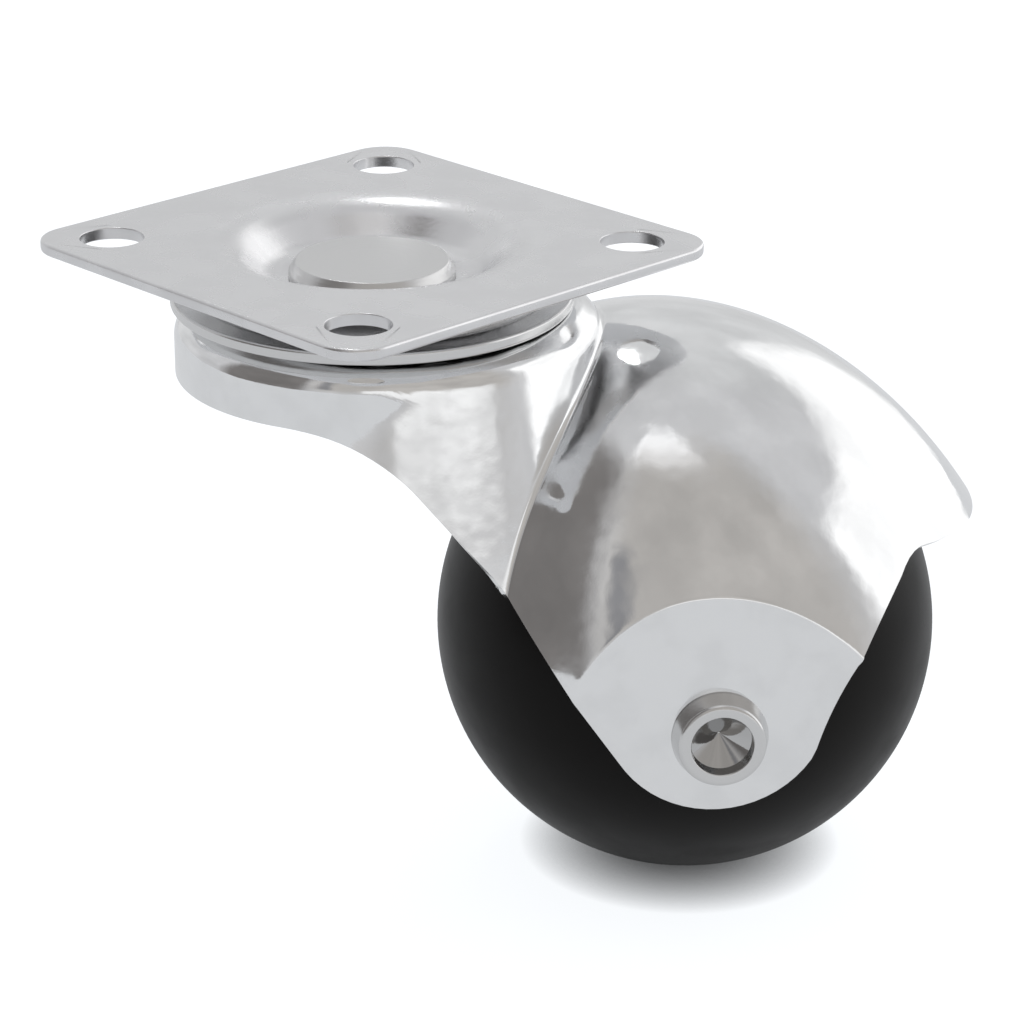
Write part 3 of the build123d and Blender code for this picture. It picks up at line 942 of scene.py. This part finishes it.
class CASTER_OT_wheel(bpy.types.Operator):
    """Turn the axle and the ball wheel, and finish the sleeve and the spacers"""

    bl_idname = "caster.wheel"
    bl_label = "Wheel and axle"

    def execute(self, context):
        sizes = context.scene.caster_wheel
        ear = context.scene.caster_hood.ear_face
        face = ear + sizes.end_height
        floor = face - sizes.recess_depth
        tip = floor - sizes.recess_radius / math.tan(sizes.drill_point / 2)
        near_tip = 0.05 * sizes.recess_radius  # a small ring keeps the cone's tip pointed
        near_half = [
            (-tip, 0, 0),
            (-tip - near_tip / math.tan(sizes.drill_point / 2), near_tip, 0),
            (-floor, sizes.recess_radius, sizes.fine_round),
            (-face, sizes.recess_radius, sizes.mouth_round),
            (-face, sizes.end_radius, sizes.end_round),
            (-ear - sizes.root_gap, sizes.root_radius, sizes.fine_round),
            (-ear, sizes.root_radius - sizes.root_gap, 0),
            (-ear, sizes.axle_radius, 0),
        ]
        far_half = [(-height, radius, bend) for height, radius, bend in reversed(near_half)]
        bm = turned_piece(near_half + far_half, WHEEL_CENTRE, ACROSS, UP, AXLE_STEPS, arc_steps=8)
        axle = place_piece("axle_turned", bm, "swivel_hood", "axle_steel", "axle")
        finish_piece(axle, "Turned axle", "Drilled recess")
        # Faces inside the drilled recess get the darker steel, which is painted shade.
        for polygon in axle.data.polygons:
            away = polygon.center - WHEEL_CENTRE
            in_recess = abs(away.y) < face and math.hypot(away.x, away.z) < 1.01 * sizes.recess_radius
            polygon.material_index = int(in_recess)
        keep_flats_flat(axle)
        half_width, radius = WHEEL_HIGH.y, WHEEL_HIGH.z - WHEEL_CENTRE.z
        start = math.acos(half_width / radius)
        sweep = math.pi - 2 * start
        arc = [start + sweep * step / BALL_ARC_STEPS for step in range(BALL_ARC_STEPS + 1)]
        section = [(half_width, sizes.bore)]
        section += [(radius * math.cos(turn), radius * math.sin(turn)) for turn in arc]
        section += [(-half_width, sizes.bore)]
        bm = spin_section(section, WHEEL_CENTRE, ACROSS, UP, BALL_STEPS, closed=True)
        wheel = place_piece("wheel_moulded", bm, "wheel", "black_wheel", "ball_wheel")
        finish_piece(wheel, "Moulded black")
        keep_flats_flat(wheel)
        dress("axle_sleeve", "Turned axle")
        dress("near_spacer", "Matt black")
        dress("far_spacer", "Matt black")
        return {"FINISHED"}


# Each card of the studio: azimuth and elevation of its middle, half width, half height and
# softness, all in degrees, and its colour. Azimuth 0 is the camera's side and 90 the trail.
# A later card covers the ones before it.
STUDIO_CARDS = (
    (180, 25, 50, 45, 25, (0.70, 0.705, 0.71)),
    (111, 5, 42, 34, 8, (1.25, 1.25, 1.25)),
    (-5, 75, 38, 8, 12, (1.3, 1.3, 1.31)),
    (12, 38, 50, 36, 22, (0.50, 0.48, 0.46)),
    (-68, 26, 27, 42, 12, (0.20, 0.19, 0.185)),
    (-30, 22, 4, 16, 6, (0.28, 0.28, 0.29)),
    (20, 4, 28, 5, 5, (0.95, 0.95, 0.95)),
    (-171, 60, 5, 5, 4, (10.0, 10.0, 10.0)),
)
CARD_SOCKETS = (
    "Azimuth", "Elevation", "Middle azimuth", "Middle elevation", "Half width", "Half height", "Softness",
)
STUDIO_BASE = (0.62, 0.62, 0.63)  # colour of the room between the cards
CLUTTER = 0.25  # how much the room's own unevenness changes its brightness
FLOOR_COLOUR = (0.34, 0.34, 0.345)
FLOOR_GLOW = 0.92  # what the floor adds for the camera, so that it reaches white
FLOOR_SHEEN = 0.50  # what it adds in reflections
GLOW_COLOUR = (0.95, 0.975, 1.0)
# The floor's glow dims within this reach of the caster: a painted contact shadow.
CONTACT_REACH = 5 * MM  # how far the darker contact shadow spreads
CONTACT_SAMPLES = 8


class CASTER_OT_stage(bpy.types.Operator):
    """Set up the studio, the floor and the camera"""

    bl_idname = "caster.stage"
    bl_label = "Stage"

    def execute(self, context):
        sizes = context.scene.caster_stage
        build_studio(context.scene)
        build_floor(sizes)
        build_camera(context.scene, sizes)
        context.scene.view_settings.view_transform = "Standard"
        return {"FINISHED"}


def card_group():
    """A soft-edged card, seen in the direction of an azimuth and an elevation."""
    tree, given, mask = new_group("Studio card", CARD_SOCKETS, "Mask")
    turn = calculate(tree, "SUBTRACT", given["Azimuth"], given["Middle azimuth"])
    turn = calculate(tree, "WRAP", turn, 180.0, -180.0)
    rise = calculate(tree, "SUBTRACT", given["Elevation"], given["Middle elevation"])
    sides = []
    for offset, half in ((turn, given["Half width"]), (rise, given["Half height"])):
        span = add_node(tree, "ShaderNodeMapRange", {
            "Value": calculate(tree, "SUBTRACT", calculate(tree, "ABSOLUTE", offset), half),
            "From Min": calculate(tree, "MULTIPLY", given["Softness"], -0.5),
            "From Max": calculate(tree, "MULTIPLY", given["Softness"], 0.5),
            "To Min": 1.0,
            "To Max": 0.0,
        }, interpolation_type="SMOOTHSTEP")
        sides.append(span.outputs["Result"])
    fill(tree, mask, calculate(tree, "MULTIPLY", *sides))


def build_studio(scene):
    """Light the room with soft cards; the camera itself sees plain white."""
    world = bpy.data.worlds.new("Studio")
    scene.world = world
    world.use_nodes = True
    tree = world.node_tree
    tree.nodes.clear()
    heading = add_node(tree, "ShaderNodeTexCoord").outputs["Generated"]
    apart = add_node(tree, "ShaderNodeSeparateXYZ", {"Vector": heading}).outputs
    back = calculate(tree, "MULTIPLY", apart["Y"], -1.0)
    azimuth = calculate(tree, "DEGREES", calculate(tree, "ARCTAN2", apart["X"], back))
    elevation = calculate(tree, "DEGREES", calculate(tree, "ARCSINE", apart["Z"]))
    card_group()
    lit = STUDIO_BASE
    for *card, shade in STUDIO_CARDS:
        values = dict(zip(CARD_SOCKETS, (azimuth, elevation, *card)))
        lit = mix_colours(tree, place_group(tree, "Studio card", **values), lit, shade)
    noise = add_node(tree, "ShaderNodeTexNoise", {"Vector": heading, "Scale": 3.0, "Detail": 4.0})
    uneven = add_node(tree, "ShaderNodeMapRange", {
        "Value": noise.outputs["Fac"], "From Min": 0.3, "From Max": 0.7,
        "To Min": 1 - CLUTTER / 2, "To Max": 1 + CLUTTER / 2,
    }).outputs["Result"]
    on_camera = add_node(tree, "ShaderNodeLightPath").outputs["Is Camera Ray"]
    strength = add_node(
        tree, "ShaderNodeMix", {"Factor": on_camera, "A": uneven, "B": 1.0}, data_type="FLOAT",
    )
    sky = add_node(tree, "ShaderNodeBackground", {
        "Color": mix_colours(tree, on_camera, lit, (1, 1, 1)), "Strength": strength.outputs["Result"],
    })
    add_node(tree, "ShaderNodeOutputWorld", {"Surface": sky.outputs["Background"]})


def build_floor(sizes):
    """A white floor that keeps the caster's shadow, with a painted contact shadow where its glow dims near
    the caster.
    """
    bm = bmesh.new()
    bmesh.ops.create_grid(bm, x_segments=1, y_segments=1, size=sizes.floor_reach)
    bmesh.ops.translate(bm, verts=bm.verts, vec=(0, 0, WHEEL_LOW.z))
    mesh = bpy.data.meshes.new("floor")
    bm.to_mesh(mesh)
    bm.free()
    floor = bpy.data.objects.new("floor", mesh)
    bpy.context.scene.collection.objects.link(floor)
    tree, shader = new_material("White floor", FLOOR_COLOUR, 0.0, 0.9, Specular_IOR_Level=0.0)
    path = add_node(tree, "ShaderNodeLightPath").outputs
    for_camera = calculate(tree, "MULTIPLY", path["Is Camera Ray"], FLOOR_GLOW)
    added = calculate(tree, "MULTIPLY_ADD", path["Is Glossy Ray"], FLOOR_SHEEN, for_camera)
    # Ambient occlusion dims the floor's glow near the caster: a painted contact shadow.
    openness = add_node(
        tree, "ShaderNodeAmbientOcclusion", {"Distance": CONTACT_REACH}, samples=CONTACT_SAMPLES,
    ).outputs["AO"]
    glow = add_node(tree, "ShaderNodeEmission", {
        "Color": (*GLOW_COLOUR, 1), "Strength": calculate(tree, "MULTIPLY", added, openness),
    })
    both = add_node(tree, "ShaderNodeAddShader")
    fill(tree, both.inputs[0], shader.outputs["BSDF"])
    fill(tree, both.inputs[1], glow.outputs["Emission"])
    fill(tree, tree.nodes["Material Output"].inputs["Surface"], both.outputs["Shader"])
    finish_piece(floor, "White floor")


def build_camera(scene, sizes):
    """Place the camera at the photograph's angle."""
    data = bpy.data.cameras.new("Camera")
    data.lens = sizes.lens
    data.sensor_width = 36
    data.clip_start = 10 * MM
    camera = bpy.data.objects.new("Camera", data)
    scene.collection.objects.link(camera)
    level = math.cos(sizes.elevation)
    back = Vector((
        math.sin(sizes.azimuth) * level, -math.cos(sizes.azimuth) * level, math.sin(sizes.elevation),
    ))
    camera.rotation_mode = "QUATERNION"
    camera.rotation_quaternion = (-back).to_track_quat("-Z", "Y") @ Quaternion(UP, sizes.roll)
    camera.location = sizes.place
    scene.camera = camera


class CASTER_PT_panel(bpy.types.Panel):
    """Lists the steps that build the caster"""

    bl_idname = "CASTER_PT_panel"
    bl_label = "Plate caster"
    bl_space_type = "VIEW_3D"
    bl_region_type = "UI"
    bl_category = "Caster"

    def draw(self, context):
        for operator, groups in STEPS:
            box = self.layout.box()
            box.operator(operator.bl_idname)
            for sizes in (getattr(context.scene, group) for group in groups):
                for name in type(sizes).__annotations__:
                    box.prop(sizes, name)


STEPS = (
    (CASTER_OT_finishes, ("caster_looks",)),
    (CASTER_OT_plate, ("caster_plate",)),
    (CASTER_OT_swivel, ("caster_swivel",)),
    (CASTER_OT_hood, ("caster_hood", "caster_outline")),
    (CASTER_OT_wheel, ("caster_wheel",)),
    (CASTER_OT_stage, ("caster_stage",)),
)
GROUPS = {
    "caster_looks": FinishLooks,
    "caster_plate": PlateSizes,
    "caster_swivel": SwivelSizes,
    "caster_hood": HoodSizes,
    "caster_outline": HoodOutline,
    "caster_wheel": WheelSizes,
    "caster_stage": StageSizes,
}


def register():
    for name, group in GROUPS.items():
        bpy.utils.register_class(group)
        setattr(bpy.types.Scene, name, PointerProperty(type=group))
    for operator, _ in STEPS:
        bpy.utils.register_class(operator)
    bpy.utils.register_class(CASTER_PT_panel)


def unregister():
    bpy.utils.unregister_class(CASTER_PT_panel)
    for operator, _ in reversed(STEPS):
        bpy.utils.unregister_class(operator)
    for name, group in reversed(GROUPS.items()):
        delattr(bpy.types.Scene, name)
        bpy.utils.unregister_class(group)


def main():
    """Build the whole scene."""
    register()
    bpy.ops.caster.finishes()
    bpy.ops.caster.plate()
    bpy.ops.caster.swivel()
    bpy.ops.caster.hood()
    bpy.ops.caster.wheel()
    bpy.ops.caster.stage()


if __name__ == "__main__":
    main()
